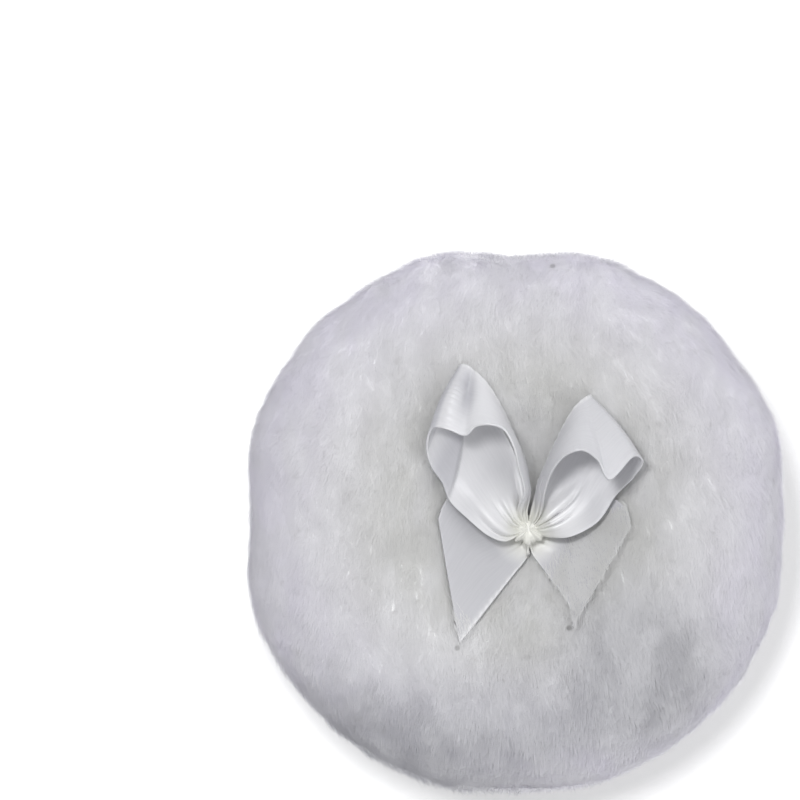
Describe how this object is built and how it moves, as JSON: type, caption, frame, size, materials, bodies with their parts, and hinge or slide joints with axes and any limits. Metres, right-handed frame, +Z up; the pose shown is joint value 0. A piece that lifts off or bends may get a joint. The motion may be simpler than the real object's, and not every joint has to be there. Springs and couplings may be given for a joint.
{
  "type": "powder puff",
  "caption": "Round plush powder puff with a sewn rim, a flat underside and a satin ribbon bow tacked down in the dimple of its upper side.",
  "frame": {"origin": "middle of the flat underside, on the surface that the puff lies on", "axes": "+Z up through the puff to the bow, +Y away from the viewer towards the loops, +X to the viewer's right"},
  "size_m": [0.0904, 0.0912, 0.0362],
  "materials": {
    "plush": "short soft pile",
    "satin": "satin weave with a soft sheen",
    "thread": "twisted sewing thread",
    "fibre": "loose polyester filling"
  },
  "bodies": {
    "puff": {"top_cover": "plush", "bottom_cover": "plush", "filling_pad": "fibre", "rim_seam_thread": "thread", "closing_stitch_thread": "thread", "anchor_thread": "thread", "anchor_knot": "thread"},
    "bow": {"bow_knot": "satin", "binding_thread": "thread"},
    "left_loop": {"left_loop": "satin"},
    "right_loop": {"right_loop": "satin"},
    "left_tail": {"left_tail": "satin"},
    "right_tail": {"right_tail": "satin"}
  },
  "joints": [
    {"name": "bow_twist", "type": "hinge", "parent": "puff", "child": "bow", "pos_m": [0.0018, -0.003, 0.02195], "axis": [0, 0, 1], "range_deg": [-25, 25]},
    {"name": "left_loop_lift", "type": "hinge", "parent": "bow", "child": "left_loop", "pos_m": [0.0018, -0.003, 0.02195], "axis": [0.9962, 0.0872, 0], "range_deg": [0, 35]},
    {"name": "right_loop_lift", "type": "hinge", "parent": "bow", "child": "right_loop", "pos_m": [0.0018, -0.003, 0.02195], "axis": [0.9848, -0.1736, 0], "range_deg": [0, 35]},
    {"name": "left_tail_lift", "type": "hinge", "parent": "bow", "child": "left_tail", "pos_m": [-0.00085, -0.0058, 0.0206], "axis": [-0.9065, 0.2645, 0.329], "range_deg": [0, 70]},
    {"name": "right_tail_lift", "type": "hinge", "parent": "bow", "child": "right_tail", "pos_m": [0.0039, -0.0058, 0.0205], "axis": [-0.9313, -0.127, -0.3413], "range_deg": [0, 70]}
  ]
}
